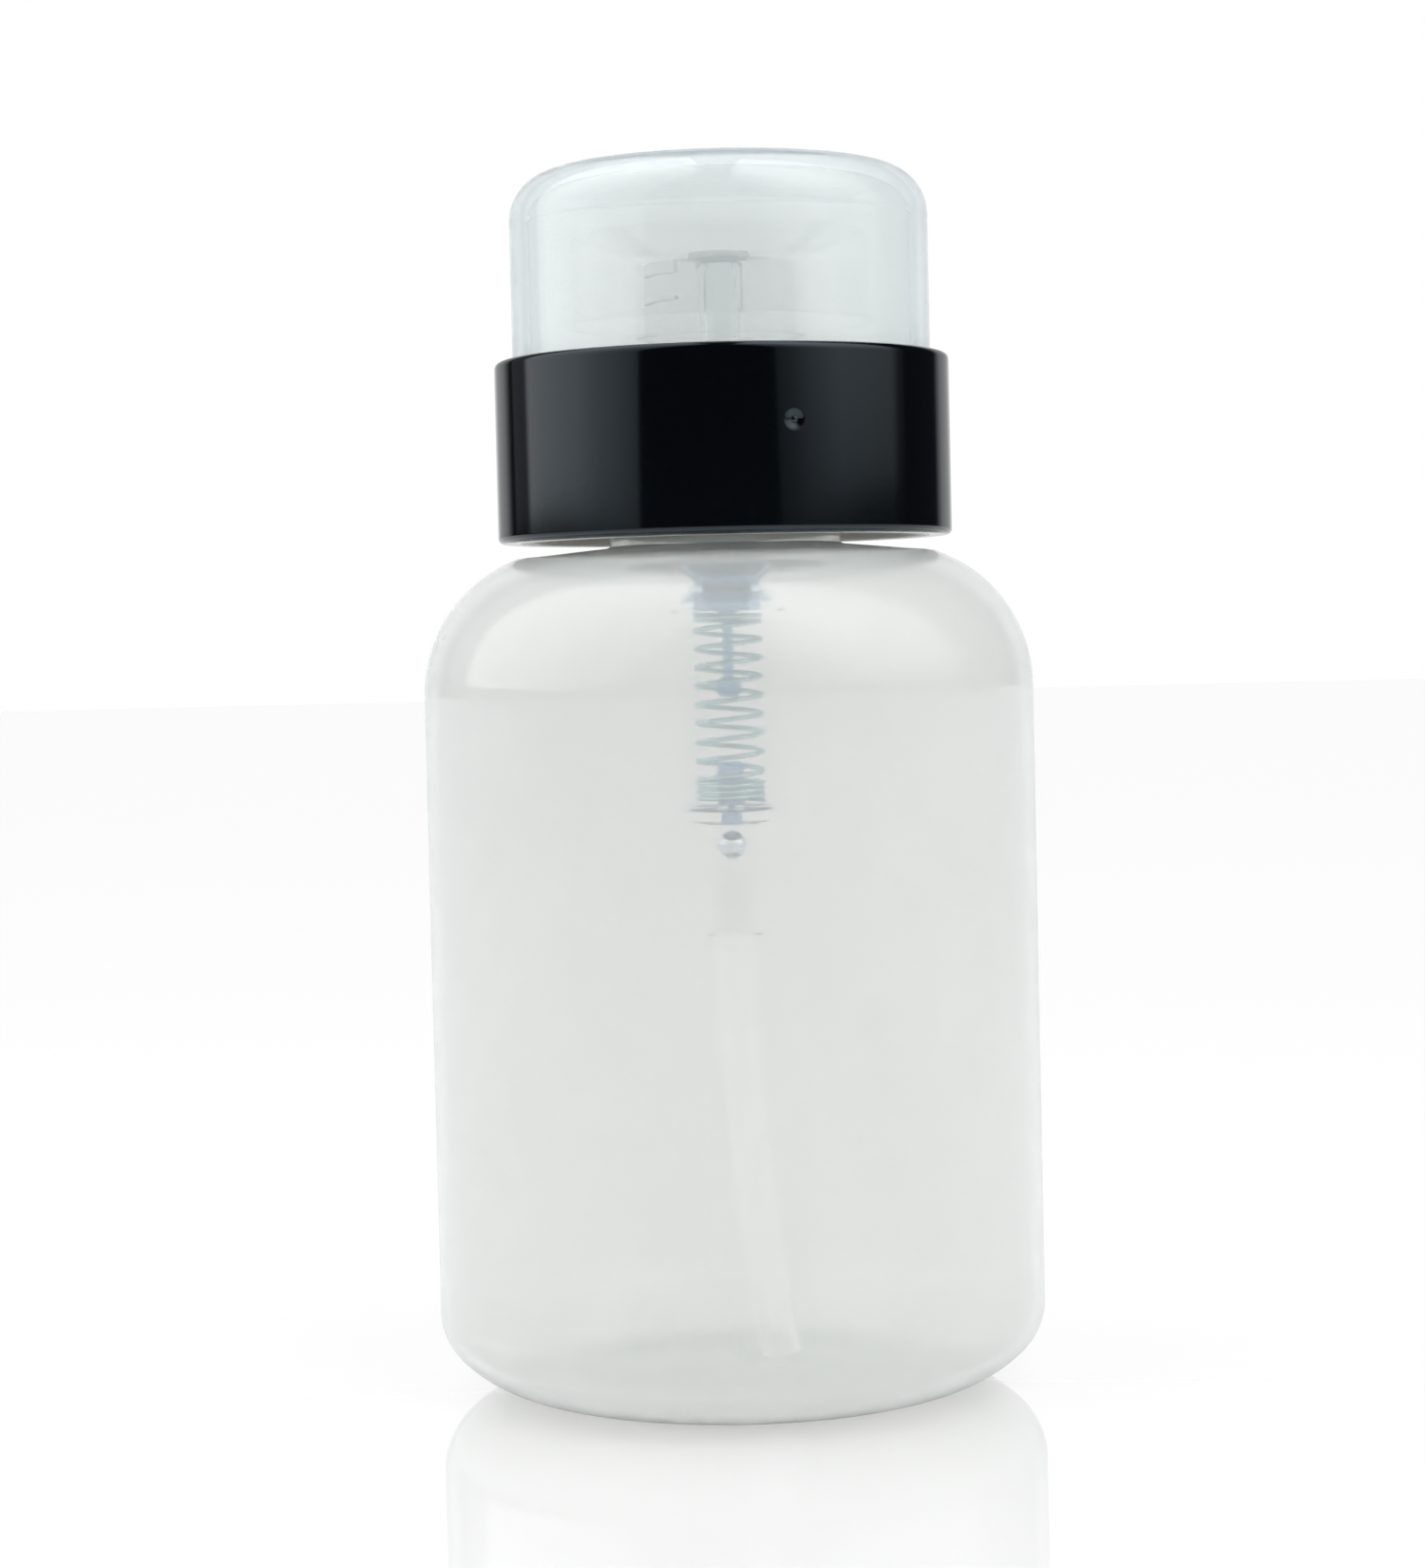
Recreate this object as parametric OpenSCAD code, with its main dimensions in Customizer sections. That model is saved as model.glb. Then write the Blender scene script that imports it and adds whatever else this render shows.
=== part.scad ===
// Push-down dispenser bottle: a blown bottle, a dish-topped pump screwed on its
// neck, and a clear cap that lifts off the dish.
// Millimetres, +Z up. The origin is at the centre of the base.

/* [Bottle] */
// Outside diameter of the body
body_d = 60; // [54:1:76]
// Thickness of the blown wall
wall = 1; // [0.7:0.1:1.6]
// Height of the straight side, where the shoulder curve starts
body_side_h = 68.6; // [64:0.2:90]
// Radius of the shoulder curve
shoulder_r = 14; // [12:0.5:18]
// Width of the shoulder curve, seen from above
shoulder_w = 9.4; // [8:0.2:11]
// Slope of the shallow cone between the shoulder curve and the neck, degrees
cone_slope = 5.5; // [3:0.5:9]
// Width of the curve between the base and the side
base_curve_w = 10.5; // [9:0.5:12]
// Height of the curve between the base and the side
base_curve_h = 7.9; // [7:0.1:9]
// Radius of the push-up under the base, inside the standing ring
push_up_w = 17; // [12:0.5:18]
// Height of the push-up at the centre
push_up_h = 1.2; // [0.8:0.1:2]
// Thickness of the floor
base_t = 1; // [0.8:0.1:1.4]

/* [Neck] */
// Outside diameter of the neck, under its thread
neck_d = 22.5; // [21.5:0.1:24]
// Bore of the neck
neck_bore_d = 19.2; // [17:0.1:20]
// Height of the neck above the cone
neck_h = 9.3; // [8:0.1:12]

/* [Collar] */
// Outside diameter of the sleeve
sleeve_d = 44.7; // [44.4:0.1:48]
// Gap between the bottle's cone and the sleeve
sleeve_gap = 0.6; // [0.4:0.1:1.5]
// Radius of the sleeve's rounded edges
sleeve_edge_r = 0.6; // [0.3:0.1:0.7]
// Width of the step inside the sleeve that the closure sits on
sleeve_step = 0.75; // [0.5:0.05:1.2]
// Height of the sleeve above the closure's deck
sleeve_lip_h = 5.4; // [3:0.1:7]
// Thickness of the closure's deck
deck_t = 1.4; // [1:0.1:2]
// Thickness of the closure's skirt
skirt_t = 1.5; // [1:0.1:2]
// Gap between the bottle's cone and the closure's skirt
skirt_gap = 1.5; // [1:0.1:2.5]
// Thickness of the closure's outer skirt, which lines the sleeve
liner_t = 1.2; // [0.8:0.1:1.6]
// Room left for the thread between the neck and the skirt
thread_room = 1.15; // [0.8:0.05:1.5]
// Thickness of the neck gasket
gasket_t = 1; // [0.6:0.1:1.6]

/* [Pump housing] */
// Bore that the piston runs in
barrel_bore_d = 9.2; // [8.6:0.1:9.8]
// Wall of the barrel's lower part
barrel_wall = 0.9; // [0.7:0.05:1.2]
// Extra wall of the barrel's upper part
barrel_step = 0.25; // [0.1:0.05:0.4]
// Length of the thicker upper part
barrel_upper_h = 16.1; // [12:0.1:20]
// Length of the barrel below its flange
barrel_h = 37.2; // [36:0.2:44]
// Thickness of the barrel's floor
barrel_floor_t = 0.8; // [0.6:0.1:1.2]
// Outside diameter of the flange that hangs on the neck
flange_d = 22.2; // [21.4:0.1:22.4]
// Thickness of the flange
flange_t = 1.2; // [0.8:0.1:2]

/* [Inlet] */
// Height of the inlet between the barrel and the dip tube's end
inlet_h = 5.3; // [5:0.1:7]
// Depth of the dip tube's socket
socket_depth = 6.3; // [4:0.1:8]
// Wall of the socket
socket_wall = 0.63; // [0.5:0.01:1]
// Diameter of the ball
ball_d = 2.9; // [2.6:0.1:3]
// Travel of the ball off its seat
ball_lift = 0.8; // [0.4:0.1:1]
// Diameter of the passage under the ball
passage_d = 1.8; // [1.2:0.1:2]
// Length of the passage
passage_h = 1.4; // [1:0.1:1.8]
// Diameter of the ball cage's post
post_d = 2.6; // [2:0.1:3]
// Height of the post above the cage's disc
post_h = 4.2; // [3:0.1:4.6]
// Thickness of the cage's disc
cage_t = 0.6; // [0.4:0.1:1]

/* [Dip tube] */
// Outside diameter of the dip tube
tube_d = 4; // [3.6:0.1:4.4]
// Wall of the dip tube
tube_wall = 0.6; // [0.4:0.05:0.8]
// Radius of the tube's long bend, left by the coil that it was cut from
tube_bend_r = 225; // [180:5:400]
// Gap between the tube's end and the bottle's floor, at the tube's axis
tube_gap = 0.6; // [0.4:0.1:3]

/* [Spring] */
// Outside diameter of the spring
spring_d = 7; // [6.6:0.1:7.4]
// Diameter of the spring wire
wire_d = 0.55; // [0.4:0.05:0.6]
// Length of the fitted spring
spring_h = 19.5; // [18.5:0.1:20.5]
// Number of open turns
open_turns = 8.5; // [7:0.5:9]
// Number of closed turns at the foot
foot_turns = 3.5; // [2:0.5:4]
// Number of closed turns at the head
head_turns = 1.5; // [1:0.5:2]

/* [Piston and stem] */
// Height of the piston
piston_h = 4.5; // [4.3:0.1:5.5]
// Thickness of the piston's sleeve
piston_wall = 0.9; // [0.7:0.1:1.1]
// Thickness of the valve seat's flange
seat_t = 0.8; // [0.6:0.1:1.2]
// Diameter of the valve seat's flange
seat_d = 6.6; // [6:0.1:7]
// Length of the valve seat's tail, which guides the spring
tail_h = 8.9; // [6:0.1:9]
// Diameter of the tail
tail_d = 2.4; // [2:0.1:2.8]
// Outside diameter of the stem
stem_d = 4.6; // [4.2:0.1:4.8]
// Bore of the stem
stem_bore_d = 2.8; // [2.2:0.1:3]

/* [Stem guide] */
// Outside diameter of the guide's tube above the closure
guide_d = 13.2; // [11:0.1:13.2]
// Wall of the guide's tube
guide_wall = 1.3; // [0.8:0.1:1.6]
// Height of the guide's tube above the closure
guide_h = 6.9; // [5:0.1:7]
// Diameter of the guide's flange
guide_flange_d = 18; // [16:0.2:19]

/* [Dish] */
// Height of the dish's underside above the closure
dish_rise = 14.7; // [14.2:0.1:16.5]
// Diameter of the rim
dish_d = 31; // [28:0.2:33]
// Diameter of the flat middle
dish_flat_d = 15; // [14.4:0.2:16]
// Height from the underside to the rim
dish_h = 4; // [3:0.1:4.5]
// Thickness of the dish
dish_t = 1; // [0.8:0.1:1.2]
// Length of the outer skirt below the rim
dish_skirt_h = 10; // [6:0.2:11]
// Outside diameter of the inner skirt
inner_skirt_d = 16.8; // [16.6:0.1:18]
// Length of the inner skirt
inner_skirt_h = 7.3; // [6:0.1:7.3]
// Length of the boss that holds the stem
boss_h = 5; // [4:0.1:6]
// Wall of the boss
boss_wall = 1.2; // [0.9:0.1:1.5]
// Width of the outlet insert
insert_d = 6; // [5:0.1:7]

/* [Cap] */
// Outside diameter of the cap
cap_d = 41.1; // [38:0.1:41.4]
// Height of the cap
cap_h = 23.9; // [23.5:0.1:30]
// Wall of the cap
cap_wall = 1.5; // [1:0.1:2]
// Radius of the cap's top edge
cap_edge_r = 4.8; // [3:0.1:6]

/* [Fits] */
// Clearance of sliding and pressed-in pieces, on the radius
slide_fit = 0.05; // [0.03:0.01:0.09]
// Gap between faces that rest on each other and move
seat_fit = 0.03; // [0.02:0.01:0.1]
// Clearance between the cap and the sleeve, on the radius
cap_fit = 0.2; // [0.1:0.05:0.3]
// Clearance round the stem guide, on the radius
guide_fit = 0.15; // [0.1:0.05:0.3]

/* [Hidden] */
$fn = 96;
over = 1; // how far a cutting shape runs past the face that it cuts

// Radii of the bottle and the collar
body_r = body_d / 2;
neck_r = neck_d / 2;
neck_bore_r = neck_bore_d / 2;
cap_r = cap_d / 2;
sleeve_r = sleeve_d / 2;
sleeve_bore_r = cap_r + cap_fit;
step_r = sleeve_bore_r - sleeve_step;
deck_r = sleeve_bore_r - slide_fit;
liner_r = step_r - slide_fit;
skirt_bore_r = neck_r + thread_room;
guide_flange_r = guide_flange_d / 2;

// Shoulder curve, and the cone that runs from its inner end to the neck
shoulder_x = body_r - shoulder_r;
cone_edge_r = body_r - shoulder_w;
cone_edge_z = body_side_h + sqrt(pow(shoulder_r, 2) - pow(cone_edge_r - shoulder_x, 2));
cone_root_z = cone_edge_z + (cone_edge_r - neck_r) * tan(cone_slope);

// Base curve: two arcs that meet at 45 degrees, as wide and as high as the named values
base_join = 45;
base_spread = (base_curve_w - base_curve_h) / (sin(base_join) + cos(base_join) - 1);
base_side_r = base_curve_w - base_spread * cos(base_join);
base_foot_r = base_side_r + base_spread;
base_side_x = body_r - base_side_r;
base_foot_x = body_r - base_curve_w;
push_up_r = (pow(push_up_w, 2) + pow(push_up_h, 2)) / (2 * push_up_h);

// Heights of the collar, stacked on the top of the neck
neck_top_z = cone_root_z + neck_h;
flange_z = neck_top_z + gasket_t;
deck_z = flange_z + flange_t;
deck_top_z = deck_z + deck_t;
skirt_z = cone_root_z + skirt_gap;
sleeve_z = cone_root_z + sleeve_gap;
sleeve_top_z = deck_top_z + sleeve_lip_h;

// Barrel and inlet, hung below the flange
bore_r = barrel_bore_d / 2;
barrel_r = bore_r + barrel_wall;
barrel_upper_r = barrel_r + barrel_step;
barrel_z = flange_z - barrel_h;
barrel_step_z = flange_z - barrel_upper_h;
barrel_floor_z = barrel_z + barrel_floor_t;
barrel_chamfer = 0.5;
tube_r = tube_d / 2;
socket_bore_r = tube_r + slide_fit / 2;
socket_r = socket_bore_r + socket_wall;
socket_top_z = barrel_z - inlet_h;
socket_z = socket_top_z - socket_depth;

// Ball, its cone seat and its cage
ball_r = ball_d / 2;
ball_room = 0.3;
chamber_r = ball_r + ball_room;
passage_r = passage_d / 2;
seat_angle = 40;
ball_seat_z = socket_top_z + passage_h;
ball_seat_top_z = ball_seat_z + (chamber_r - passage_r) / tan(seat_angle);
ball_z = ball_seat_z + ((ball_r + slide_fit) / cos(seat_angle) - passage_r) / tan(seat_angle);
cage_z = barrel_floor_z + cage_t;
post_r = post_d / 2;
post_tip_r = post_r - 0.3;
post_tip_z = ball_z + ball_r + ball_lift + slide_fit;
post_top_z = cage_z + post_h;
cage_slots = 4;
cage_slot_w = 0.7;
cage_slot_r = chamber_r + 0.9;

// Spring, valve seat, piston and stem, stacked on the cage
wire_r = wire_d / 2;
coil_r = spring_d / 2 - wire_r;
closed_pitch = wire_d + 0.05;
closed_turns = foot_turns + head_turns;
open_pitch = (spring_h - wire_d - closed_turns * closed_pitch) / open_turns;
spring_turns = closed_turns + open_turns;
ring_steps = 16;
wire_sides = 6;
seat_z = cage_z + spring_h + seat_fit;
seat_top_z = seat_z + seat_t;
seat_r = seat_d / 2;
tail_r = tail_d / 2;
tail_z = seat_z - tail_h;
tail_taper = 0.8;
stem_r = stem_d / 2;
stem_bore_r = stem_bore_d / 2;
shank_r = stem_bore_r - slide_fit;
shank_h = 2;
port_r = 0.5;
piston_z = seat_top_z + seat_fit;
piston_top_z = piston_z + piston_h;
piston_bore_r = stem_r + slide_fit;
piston_core_r = piston_bore_r + piston_wall;
lip_r = bore_r - slide_fit;
lip_t = 0.35;
lip_h = 1.3;
lip_root = 0.7;
lip_band = 0.5;
guide_plug_z = piston_top_z + seat_fit;
guide_bore_r = stem_r + guide_fit;
guide_r = guide_d / 2;

// Dish
dish_z = deck_top_z + dish_rise;
dish_rim_z = dish_z + dish_h;
dish_floor_z = dish_z + dish_t;
dish_r = dish_d / 2;
dish_flat_r = dish_flat_d / 2;
rim_chamfer = 0.4;
inner_skirt_r = inner_skirt_d / 2;
inner_skirt_z = dish_z - inner_skirt_h;
inner_bore_r = inner_skirt_r - dish_t;
skirt_blend = 0.8 * dish_t;
boss_r = stem_r + slide_fit + boss_wall;
insert_r = insert_d / 2;
insert_sink = 0.5 * dish_t;
insert_t = 0.6 * dish_t;
outlet_r = 0.28;
outlet_ring_r = 0.85;
outlets = 6;
lug_t = 0.5;
lug_pitch = 1.5;
lug_rise = 2.4;
lug_sweep = 60;
lug_starts = 2;

// Cap
cap_z = deck_top_z + seat_fit;
cap_top_z = deck_top_z + cap_h;

// Dip tube: straight in its socket, then one long bend down to the floor
tube_end_z = push_up_h + base_t + tube_gap;
tube_bend = asin((socket_z - tube_end_z) / tube_bend_r);

// A solid of revolution from an outline in radius and height
module turned(outline) {
    rotate_extrude() polygon(outline);
}

// A plain ring
module band(r_in, r_out, z_low, z_high) {
    turned([[r_in, z_low], [r_out, z_low], [r_out, z_high], [r_in, z_high]]);
}

// The part of a disc between two angles, at most 90 degrees apart
module sector(x, z, r, from, to) {
    reach = 2 * r;
    intersection() {
        translate([x, z]) circle(r = r);
        polygon([[x, z], [x + reach * cos(from), z + reach * sin(from)],
            [x + reach * cos(to), z + reach * sin(to)]]);
    }
}

// Half outline of the body, moved inwards by a distance
module body_half(inset) {
    side_r = body_r - inset;
    cone_z = cone_root_z + neck_r * tan(cone_slope) - inset / cos(cone_slope);
    intersection() {
        union() {
            translate([0, base_curve_h]) square([side_r, body_side_h - base_curve_h]);
            translate([0, inset]) square([base_foot_x, body_side_h - inset]);
            // the side arc's disc lies inside the foot arc's, so it runs on past their joint
            sector(base_side_x, base_curve_h, base_side_r - inset, -90, 0);
            sector(base_foot_x, base_foot_r, base_foot_r - inset, -90, -base_join);
            translate([0, body_side_h]) square([shoulder_x, shoulder_r - inset]);
            sector(shoulder_x, body_side_h, shoulder_r - inset, 0, 90);
        }
        polygon([[0, 0], [body_r, 0], [body_r, cone_z - body_r * tan(cone_slope)], [0, cone_z]]);
    }
}

// The ball that presses the base up, grown by a distance
module push_up(grow) {
    translate([0, 0, push_up_h - push_up_r]) sphere(r = push_up_r + grow);
}

module bottle() {
    color([0.87, 0.89, 0.87, 0.5])
    difference() {
        rotate_extrude() {
            body_half(0);
            translate([0, body_side_h]) square([neck_r, neck_top_z - body_side_h]);
        }
        difference() {
            rotate_extrude() body_half(wall);
            push_up(base_t);
        }
        push_up(0);
        translate([0, 0, body_side_h]) cylinder(r = neck_bore_r, h = neck_top_z - body_side_h + over);
    }
}

// A bar with four rounded corners
module round_bar(x_in, x_out, z_low, z_high, r) {
    translate([x_in + r, z_low]) square([x_out - x_in - 2 * r, z_high - z_low]);
    translate([x_in, z_low + r]) square([x_out - x_in, z_high - z_low - 2 * r]);
    for (x = [x_in + r, x_out - r], z = [z_low + r, z_high - r]) translate([x, z]) circle(r = r);
}

module collar_sleeve() {
    color([0.05, 0.05, 0.06])
    rotate_extrude() {
        round_bar(sleeve_bore_r, sleeve_r, sleeve_z, sleeve_top_z, sleeve_edge_r);
        translate([step_r, sleeve_z + sleeve_edge_r])
            square([sleeve_r - step_r - sleeve_edge_r, deck_z - sleeve_z - sleeve_edge_r]);
    }
}

module threaded_closure() {
    hole_r = guide_flange_r + guide_fit;
    color([0.9, 0.9, 0.86])
    turned([[hole_r, deck_z], [skirt_bore_r, deck_z], [skirt_bore_r, skirt_z],
        [skirt_bore_r + skirt_t, skirt_z], [skirt_bore_r + skirt_t, deck_z],
        [liner_r - liner_t, deck_z], [liner_r - liner_t, sleeve_z], [liner_r, sleeve_z],
        [liner_r, deck_z], [deck_r, deck_z], [deck_r, deck_top_z], [hole_r, deck_top_z]]);
}

module neck_gasket() {
    color([0.92, 0.92, 0.9])
    band(barrel_upper_r + guide_fit, neck_r - slide_fit, neck_top_z, flange_z);
}

module pump_housing() {
    color([0.88, 0.9, 0.89, 0.6])
    difference() {
        turned([[0, socket_z], [socket_r, socket_z], [socket_r, barrel_z - barrel_chamfer],
            [barrel_r - barrel_chamfer, barrel_z], [barrel_r, barrel_z + barrel_chamfer],
            [barrel_r, barrel_step_z - barrel_step], [barrel_upper_r, barrel_step_z],
            [barrel_upper_r, flange_z], [flange_d / 2, flange_z], [flange_d / 2, deck_z], [0, deck_z]]);
        turned([[0, socket_z - over], [socket_bore_r, socket_z - over], [socket_bore_r, socket_top_z],
            [passage_r, socket_top_z], [passage_r, ball_seat_z], [chamber_r, ball_seat_top_z],
            [chamber_r, barrel_floor_z], [bore_r, barrel_floor_z], [bore_r, deck_z + over],
            [0, deck_z + over]]);
    }
}

module stem_guide() {
    color([0.9, 0.9, 0.88])
    turned([[guide_bore_r, guide_plug_z], [lip_r, guide_plug_z], [lip_r, deck_z],
        [guide_flange_r, deck_z], [guide_flange_r, deck_top_z], [guide_r, deck_top_z],
        [guide_r, deck_top_z + guide_h], [guide_r - guide_wall, deck_top_z + guide_h],
        [guide_r - guide_wall, deck_top_z], [guide_bore_r, deck_top_z]]);
}

module ball_cage() {
    color([0.75, 0.8, 0.85])
    union() {
        difference() {
            band(0, bore_r - slide_fit, barrel_floor_z, cage_z);
            for (i = [0:cage_slots - 1]) rotate([0, 0, i * 360 / cage_slots])
                translate([post_r, -cage_slot_w / 2, barrel_floor_z - over])
                cube([cage_slot_r - post_r, cage_slot_w, cage_t + 2 * over]);
        }
        turned([[0, post_tip_z], [post_tip_r, post_tip_z], [post_tip_r, barrel_floor_z],
            [post_r, barrel_floor_z], [post_r, post_top_z - (post_r - post_tip_r)],
            [post_tip_r, post_top_z], [0, post_top_z]]);
    }
}

module inlet_ball() {
    color([0.6, 0.62, 0.64])
    translate([0, 0, ball_z]) sphere(r = ball_r);
}

// The straight top of the dip tube, as a pipe
module tube_top() {
    translate([0, 0, socket_z]) difference() {
        cylinder(r = tube_r, h = socket_top_z - seat_fit - socket_z);
        translate([0, 0, -over]) cylinder(r = tube_r - tube_wall, h = socket_top_z - socket_z + 2 * over);
    }
}

// The bent length of the dip tube, as a pipe
module tube_leg() {
    translate([tube_bend_r, 0, socket_z]) rotate([90, 0, 0]) rotate([0, 0, 180])
        rotate_extrude(angle = tube_bend) translate([tube_bend_r, 0]) difference() {
            circle(r = tube_r);
            circle(r = tube_r - tube_wall);
        }
}

module dip_tube() {
    color([0.86, 0.9, 0.92, 0.7])
    union() {
        tube_top();
        tube_leg();
    }
}

// Height of the wire's centre above the cage after a number of turns
function spring_rise(t) = wire_r
    + min(t, foot_turns) * closed_pitch
    + max(0, min(t - foot_turns, open_turns)) * open_pitch
    + max(0, t - foot_turns - open_turns) * closed_pitch;

module spring() {
    steps = round(spring_turns * ring_steps);
    points = [for (i = [0:steps], j = [0:wire_sides - 1])
        let (turn = i * spring_turns / steps, side = j * 360 / wire_sides, r = coil_r + wire_r * cos(side))
        [r * cos(360 * turn), r * sin(360 * turn), cage_z + spring_rise(turn) + wire_r * sin(side)]];
    walls = [for (i = [0:steps - 1], j = [0:wire_sides - 1])
        let (k = (j + 1) % wire_sides, a = i * wire_sides, b = a + wire_sides)
        each [[a + j, b + j, b + k], [a + j, b + k, a + k]]];
    foot_end = [for (j = [0:wire_sides - 1]) j];
    head_end = [for (j = [wire_sides - 1:-1:0]) steps * wire_sides + j];
    color([0.62, 0.66, 0.7])
    polyhedron(points = points, faces = concat(walls, [foot_end, head_end]));
}

module piston() {
    color([0.45, 0.6, 0.75])
    turned([[piston_bore_r, piston_z], [piston_core_r, piston_z], [piston_core_r, piston_z + lip_h],
        [lip_r - lip_t, piston_z], [lip_r, piston_z], [lip_r, piston_z + lip_band],
        [piston_core_r, piston_z + lip_h + lip_root], [piston_core_r, piston_top_z - lip_h - lip_root],
        [lip_r, piston_top_z - lip_band], [lip_r, piston_top_z], [lip_r - lip_t, piston_top_z],
        [piston_core_r, piston_top_z - lip_h], [piston_core_r, piston_top_z],
        [piston_bore_r, piston_top_z]]);
}

module piston_seat() {
    color([0.4, 0.56, 0.74])
    turned([[0, tail_z], [tail_r / 2, tail_z], [tail_r, tail_z + tail_taper], [tail_r, seat_z],
        [seat_r, seat_z], [seat_r, seat_top_z], [shank_r, seat_top_z], [shank_r, seat_top_z + shank_h],
        [0, seat_top_z + shank_h]]);
}

module stem() {
    color([0.86, 0.88, 0.88, 0.8])
    difference() {
        band(stem_bore_r, stem_r, seat_top_z, dish_z);
        for (a = [0, 90]) translate([0, 0, seat_top_z + shank_h + 2 * port_r]) rotate([0, 90, a])
            cylinder(r = port_r, h = 2 * stem_r + over, center = true);
    }
}

module actuator_dish() {
    color([0.88, 0.9, 0.9, 0.6])
    difference() {
        union() {
            turned([[stem_bore_r, dish_z], [dish_flat_r, dish_z], [dish_r - dish_t, dish_rim_z - dish_t],
                [dish_r - dish_t, dish_rim_z - dish_skirt_h], [dish_r, dish_rim_z - dish_skirt_h],
                [dish_r, dish_rim_z - rim_chamfer], [dish_r - rim_chamfer, dish_rim_z],
                [dish_r - dish_t, dish_rim_z], [dish_flat_r, dish_floor_z], [stem_bore_r, dish_floor_z]]);
            band(inner_bore_r, inner_skirt_r, inner_skirt_z, dish_z + skirt_blend);
            band(stem_r + slide_fit, boss_r, dish_z - boss_h, dish_z + insert_sink / 2);
            for (s = [0:lug_starts - 1], n = [0, 1])
                translate([0, 0, inner_skirt_z + lug_rise + n * lug_pitch])
                rotate([0, 0, s * 360 / lug_starts])
                rotate_extrude(angle = lug_sweep)
                translate([guide_r + guide_fit, 0]) square([inner_skirt_r - dish_t / 2 - guide_r - guide_fit, lug_t]);
        }
        translate([0, 0, dish_floor_z - insert_sink]) cylinder(r = insert_r + slide_fit, h = insert_sink + over);
    }
}

module outlet_insert() {
    color([0.85, 0.87, 0.88])
    translate([0, 0, dish_floor_z - insert_sink]) difference() {
        cylinder(r = insert_r, h = insert_t);
        translate([0, 0, -over]) cylinder(r = outlet_r, h = insert_t + 2 * over, $fn = 24);
        for (i = [0:outlets - 1]) rotate([0, 0, i * 360 / outlets]) translate([outlet_ring_r, 0, -over])
            cylinder(r = outlet_r, h = insert_t + 2 * over, $fn = 24);
    }
}

// Half outline of the cap, moved inwards by a distance
module cap_half(inset, z_low) {
    edge_x = cap_r - cap_edge_r;
    edge_z = cap_top_z - cap_edge_r;
    translate([0, z_low]) square([cap_r - inset, edge_z - z_low]);
    translate([0, z_low]) square([edge_x, cap_top_z - inset - z_low]);
    sector(edge_x, edge_z, cap_edge_r - inset, 0, 90);
}

module over_cap() {
    color([0.9, 0.93, 0.95, 0.35])
    rotate_extrude() difference() {
        cap_half(0, cap_z);
        cap_half(cap_wall, cap_z - over);
    }
}

bottle();
collar_sleeve();
threaded_closure();
neck_gasket();
pump_housing();
stem_guide();
ball_cage();
inlet_ball();
dip_tube();
spring();
piston();
piston_seat();
stem();
actuator_dish();
outlet_insert();
over_cap();
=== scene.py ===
import math
import bmesh
import bpy
from mathutils import Matrix, Vector


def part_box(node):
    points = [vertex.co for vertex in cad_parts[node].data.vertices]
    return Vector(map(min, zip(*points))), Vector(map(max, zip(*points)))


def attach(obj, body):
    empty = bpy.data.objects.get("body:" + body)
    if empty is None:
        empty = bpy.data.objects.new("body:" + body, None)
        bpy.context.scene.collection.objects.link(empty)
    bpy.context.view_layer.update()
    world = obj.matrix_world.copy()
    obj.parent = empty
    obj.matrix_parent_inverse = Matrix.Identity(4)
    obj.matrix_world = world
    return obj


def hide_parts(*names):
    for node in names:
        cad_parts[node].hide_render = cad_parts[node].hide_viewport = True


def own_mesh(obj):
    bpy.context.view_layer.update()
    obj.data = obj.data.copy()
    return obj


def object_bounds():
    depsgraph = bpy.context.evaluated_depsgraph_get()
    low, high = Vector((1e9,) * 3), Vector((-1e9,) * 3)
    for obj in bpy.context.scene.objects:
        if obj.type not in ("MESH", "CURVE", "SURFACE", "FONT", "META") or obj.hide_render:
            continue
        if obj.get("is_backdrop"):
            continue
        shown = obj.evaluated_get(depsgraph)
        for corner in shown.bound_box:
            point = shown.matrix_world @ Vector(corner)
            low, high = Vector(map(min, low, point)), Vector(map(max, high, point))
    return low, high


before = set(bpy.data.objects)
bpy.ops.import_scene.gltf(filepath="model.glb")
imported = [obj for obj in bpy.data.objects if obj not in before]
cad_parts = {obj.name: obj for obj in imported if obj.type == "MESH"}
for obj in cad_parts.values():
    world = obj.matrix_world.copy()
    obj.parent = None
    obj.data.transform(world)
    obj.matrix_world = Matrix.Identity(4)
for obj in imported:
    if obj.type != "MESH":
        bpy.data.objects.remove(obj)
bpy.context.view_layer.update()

# ---------------------------------------------------------------------------
# Camera: a long lens in front of the bottle, just above its middle, held with
# a slight roll.
LENS_MM = 79.8
CAMERA_BACK = 0.3436
CAMERA_HEIGHT = 0.0739
CAMERA_DOWN = math.radians(2.44)
CAMERA_ROLL = math.radians(1.33)
CAMERA_YAW = math.radians(0.304)

camera_data = bpy.data.cameras.new("camera")
camera_data.lens = LENS_MM
camera = bpy.data.objects.new("camera", camera_data)
bpy.context.scene.collection.objects.link(camera)
camera.matrix_world = (
    Matrix.Translation((0, -CAMERA_BACK, CAMERA_HEIGHT))
    @ Matrix.Rotation(CAMERA_YAW, 4, "Z")
    @ Matrix.Rotation(math.radians(90) - CAMERA_DOWN, 4, "X")
    @ Matrix.Rotation(-CAMERA_ROLL, 4, "Z")
)
bpy.context.scene.camera = camera
bpy.context.scene.view_settings.view_transform = "Standard"


# ---------------------------------------------------------------------------
# Stage: a glossy white table under a white surround that is darker towards the
# camera, and two large softboxes at the sides, the left one brighter.
def linear(code):
    """An sRGB hex colour as linear RGBA."""
    channels = [int(code[i:i + 2], 16) / 255 for i in (1, 3, 5)]
    return [c / 12.92 if c <= 0.04045 else ((c + 0.055) / 1.055) ** 2.4 for c in channels] + [1]


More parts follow.
